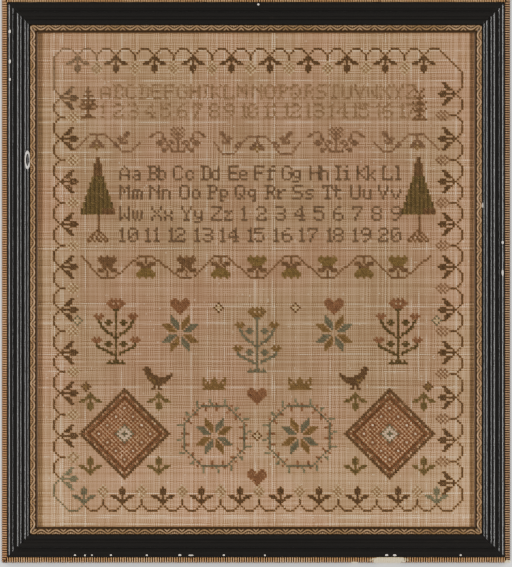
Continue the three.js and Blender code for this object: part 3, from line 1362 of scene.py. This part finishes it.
def wreath(column, row, reach, flosses):
    """An eight-sided stem with leaves outside and berries inside."""
    cut = round(reach * 0.45)
    ring = [
        (-cut, -reach), (cut, -reach), (reach, -cut), (reach, cut), (cut, reach),
        (-cut, reach), (-reach, cut), (-reach, -cut), (-cut, -reach),
    ]
    line("garden_stitches", [(column + c, row + r) for c, r in ring], flosses[0])
    for step in range(WREATH_SPRAYS):
        angle = 2 * math.pi * (step + 0.5) / WREATH_SPRAYS
        out = (math.cos(angle), math.sin(angle))
        distance = reach / max(abs(out[0]), abs(out[1]), (abs(out[0]) + abs(out[1])) / 1.45)
        stretch = (1, 2, 3) if step % 2 else (-2, -1, 1)
        for more in stretch:
            place = (round(column + out[0] * (distance + more)),
                     round(row + out[1] * (distance + more)))
            stitch("garden_stitches", *place, flosses[1] if step % 2 else flosses[2])


# %% Charts for the small motifs
CARNATION = [
    ".........o.o.o.........", "........ooooooo........", ".......ooo.o.ooo.......",
    "........ooooooo........", ".........ooooo.........", "..........###..........",
    "...........#...........", "..o.o......#......o.o..", ".ooooo.....#.....ooooo.",
    "..ooo......#......ooo..", "...#...##..#..##...#...", "...##.####.#.####.##...",
    "....#..##..#..##..#....", "....##.....#.....##....", ".....##....#....##.....",
    "......##...#...##......", ".......###.#.###.......", ".........#.#.#.........",
    ".o.o......###......o.o.", "ooooo......#......ooooo", ".ooo...##..#..##...ooo.",
    "..#...####.#.####...#..", "..##...##..#..##...##..", "...###.....#.....###...",
    ".....###...#...###.....", ".......###.#.###.......", ".........###.#.........",
    "...........#...........", "...........#...........", "........#.###.#........",
    ".......#########.......",
]
BIRD = [
    "...........##.", "..........####", "..........###.", "#........####.",
    "###....#####..", ".#########o#..", "..######oo#...", "...#####o#....",
    ".....####.....", "......#.#.....", ".....##.##....",
]
HEART = [
    ".##...##.", "####.####", "#########", "#########", ".#######.", "..#####..",
    "...###...", "....#....",
]
CROWN = ["#....#....#", "##..###..##", "#.#.###.#.#", "###########", ".#########.", "###########"]
SPOT = ["..#..", ".#o#.", "#ooo#", ".#o#.", "..#.."]


# %% Arrange the motifs
CARPET_HALF = 21
CARPET_OUT = 62
SPRIG_OUT = 16
PAIRED = [
    # motif, stitches out from the middle, top row, flosses
    (CARNATION, 66, 124, ["moss", "brick"]), (BIRD, 46, 156, ["umber", "honey"]),
    (HEART, 36, 124, ["brick"]), (CROWN, 20, 161, ["honey"]),
    (SPOT, 80, 163, ["umber", "honey"]), (SPOT, 84, 132, ["slate", "straw"]),
    (SPOT, 18, 126, ["umber", "straw"]),
]
SINGLE = [
    (CARNATION, 128, ["slate", "honey"]), (HEART, 166, ["brick"]), (HEART, 204, ["brick"]),
    (SPOT, 186, ["umber", "straw"]),
]
for side in (-1, 1):
    carpet(MIDDLE + side * CARPET_OUT, 187, CARPET_HALF)
    for across in (-SPRIG_OUT, SPRIG_OUT):
        column = MIDDLE + side * CARPET_OUT + across
        chart("garden_stitches", SPRIG, column, 168, ["olive"])
        chart("garden_stitches", SPRIG, column, 198, ["olive"], flip=True)
    wreath(MIDDLE + side * 20, 188, 14, ("slate", "sage", "brick"))
    star(MIDDLE + side * 20, 188, 4, ("honey", "slate"))
    star(MIDDLE + side * 36, 140, 4, ("slate", "honey"))
    for motif, out, row, flosses in PAIRED:
        mirror = motif is BIRD and side < 0
        chart("garden_stitches", motif, MIDDLE + side * out, row, flosses, mirror=mirror)
for motif, row, flosses in SINGLE:
    chart("garden_stitches", motif, MIDDLE, row, flosses)
print({name: len(cells) for name, cells in work.items()}, "stitches")


# %% Copy the legs into one mesh for each list
COMMON_WEAR = 0.015
TURN_SPREAD = 0.07
SIZE_SPREAD = 0.06
SHIFT_SPREAD = 0.035 * STITCH
TONE_SPREAD = 0.13
chance = np.random.default_rng(11)


def bleach(x, y):
    """How far the light has faded the floss at a place, from 0 to 1."""
    clouds = 0.5 + 0.5 * np.sin(x * 21 + 0.7) * np.cos(y * 17 - 0.4)
    corner = np.clip(1 - np.hypot(x + sight_half_width, y - sight_half_height) / 0.08, 0, 1)
    return np.clip(0.04 * clouds + 0.9 * corner, 0, 0.45)


def crossed(name, cells):
    """Both legs of every stitch of a list, as one mesh with a floss colour."""
    places = np.array(sorted(cells), dtype=float)
    flosses = [cells[tuple(map(int, place))] for place in places]
    colours = np.array([FLOSS[floss] for floss in flosses])
    worn = np.array([WORN_AWAY.get(floss, COMMON_WEAR) for floss in flosses])
    x = (places[:, 0] + 0.5) * STITCH - sight_half_width
    y = sight_half_height - (places[:, 1] + 0.5) * STITCH
    faded = bleach(x, y)[:, None]
    colours = colours * (1 - faded) + np.array(FLOSS["cream"]) * 0.5 * faded
    shape = points_of(leg)
    corners = np.array([list(face.vertices) for face in leg.data.polygons])
    all_points, all_faces, all_colours = [], [], []
    for turn, lift in ((math.pi / 4, FIRST_LEG_LIFT), (-math.pi / 4, SECOND_LEG_LIFT)):
        count = len(places)
        kept = chance.random(count) > worn
        angle = turn + chance.normal(0, TURN_SPREAD, count)
        size = chance.normal(1, SIZE_SPREAD, (count, 3))
        shift = chance.normal(0, SHIFT_SPREAD, (count, 2))
        tone = chance.normal(1, TONE_SPREAD, count)[:, None]
        local = shape[None] * size[:, None]
        cos, sin = np.cos(angle)[:, None], np.sin(angle)[:, None]
        placed = np.empty_like(local)
        placed[..., 0] = local[..., 0] * cos - local[..., 1] * sin + (x + shift[:, 0])[:, None]
        placed[..., 1] = local[..., 0] * sin + local[..., 1] * cos + (y + shift[:, 1])[:, None]
        ground = cloth_level + swell(x, y) + lift
        placed[..., 2] = local[..., 2] + ground[:, None]
        first = sum(len(part) for part in all_points)
        starts = first + np.arange(kept.sum()) * len(shape)
        all_points.append(placed[kept].reshape(-1, 3))
        all_faces.append((starts[:, None, None] + corners[None]).reshape(-1, 3))
        dyed = np.clip(colours * tone, 0, 1)[kept]
        all_colours.append(np.repeat(dyed, len(shape), axis=0))
    return mesh_of(name, *map(np.concatenate, (all_points, all_faces, all_colours)))


def mesh_of(name, points, faces, colours):
    """A mesh of triangles with a colour at each point."""
    mesh = bpy.data.meshes.new(name)
    mesh.vertices.add(len(points))
    mesh.vertices.foreach_set("co", points.ravel())
    mesh.loops.add(faces.size)
    mesh.loops.foreach_set("vertex_index", faces.ravel())
    mesh.polygons.add(len(faces))
    mesh.polygons.foreach_set("loop_start", np.arange(len(faces)) * 3)
    mesh.polygons.foreach_set("use_smooth", np.ones(len(faces), dtype=bool))
    mesh.update(calc_edges=True)
    mesh.validate()
    layer = mesh.attributes.new("floss", "FLOAT_COLOR", "POINT")
    rgba = np.ones((len(points), 4), dtype=np.float32)
    rgba[:, :3] = colours
    layer.data.foreach_set("color", rgba.ravel())
    piece = bpy.data.objects.new(name, mesh)
    bpy.context.scene.collection.objects.link(piece)
    return piece


def wool_floss():
    f = Finish("wool_floss", (0.10, 0.06, 0.03), 0.85)
    f.dull(0.1)
    fibre = f.noise(f.place, 5200, 2)
    dyed = f.attribute("floss", "Color")
    shade = f.mix(f.ramp(fibre, 0.3, 0.7), (0.72, 0.72, 0.74), (1.30, 1.28, 1.24))
    f.colour(f.mix(1.0, dyed, shade, "MULTIPLY"))
    f.bump(fibre, 0.08 * MM, 0.6)
    return f.material


floss_finish = wool_floss()
for name, cells in work.items():
    piece = crossed(name, cells)
    piece.data.materials.append(floss_finish)
    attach(piece, "root")
    print(name, triangles(piece), "triangles")
bpy.data.objects.remove(leg)


# %% [markdown]
# ## Floor, light and camera
#
# The framed work lies face up on a plain pale floor. Two long strip lights, low on
# the left and the right, rake across the threads and run along the polished
# mouldings, as studio lights do for flat work. The long side of each strip lies
# along Y, so a mitred frame shows soft highlights on its side bars and even ones
# above and below. A faint white world fills the shadows. The camera looks straight
# down from far away with a long lens, so that the outer edges show no side.

# %% Floor and world
FLOOR_SIZE = 6.0
bpy.ops.mesh.primitive_plane_add(size=FLOOR_SIZE, location=(0, 0, 0))
floor = named("floor")
floor.data.materials.append(Finish("pale_floor", (0.9, 0.9, 0.9), 0.9).material)
scene = bpy.context.scene
scene.world = bpy.data.worlds.new("soft_fill")
scene.world.use_nodes = True
scene.world.node_tree.nodes["Background"].inputs["Color"].default_value = (1, 1, 1, 1)
scene.world.node_tree.nodes["Background"].inputs["Strength"].default_value = 0.13

# %% Two raking strip lights
STRIP_WIDTH = 0.12
STRIP_LENGTH = 1.6
STRIP_DISTANCE = 1.3
STRIP_ELEVATION = math.radians(34)
STRIP_POWER = 30
for side, name in ((-1, "strip_light_left"), (1, "strip_light_right")):
    lamp = bpy.data.lights.new(name, "AREA")
    lamp.shape = "RECTANGLE"
    lamp.size = STRIP_WIDTH
    lamp.size_y = STRIP_LENGTH
    lamp.energy = STRIP_POWER
    strip = bpy.data.objects.new(name, lamp)
    scene.collection.objects.link(strip)
    away = (side * math.cos(STRIP_ELEVATION), 0, math.sin(STRIP_ELEVATION))
    strip.location = Vector(away) * STRIP_DISTANCE
    strip.rotation_euler = (0, side * (math.pi / 2 - STRIP_ELEVATION), 0)

# %% Camera
CAMERA_HEIGHT = 6.0
CAMERA_DOWN = 0.0033
SENSOR = 36.0
VIEW_HEIGHT = 0.4933
lens = SENSOR * (CAMERA_HEIGHT - cad_high.z) / VIEW_HEIGHT
camera = bpy.data.objects.new("camera", bpy.data.cameras.new("camera"))
scene.collection.objects.link(camera)
scene.camera = camera
camera.location = (0, -CAMERA_DOWN, CAMERA_HEIGHT)
camera.data.sensor_width = SENSOR
camera.data.lens = lens
camera.data.clip_end = 10 * CAMERA_HEIGHT
print("lens:", round(lens), "mm at", CAMERA_HEIGHT, "m")
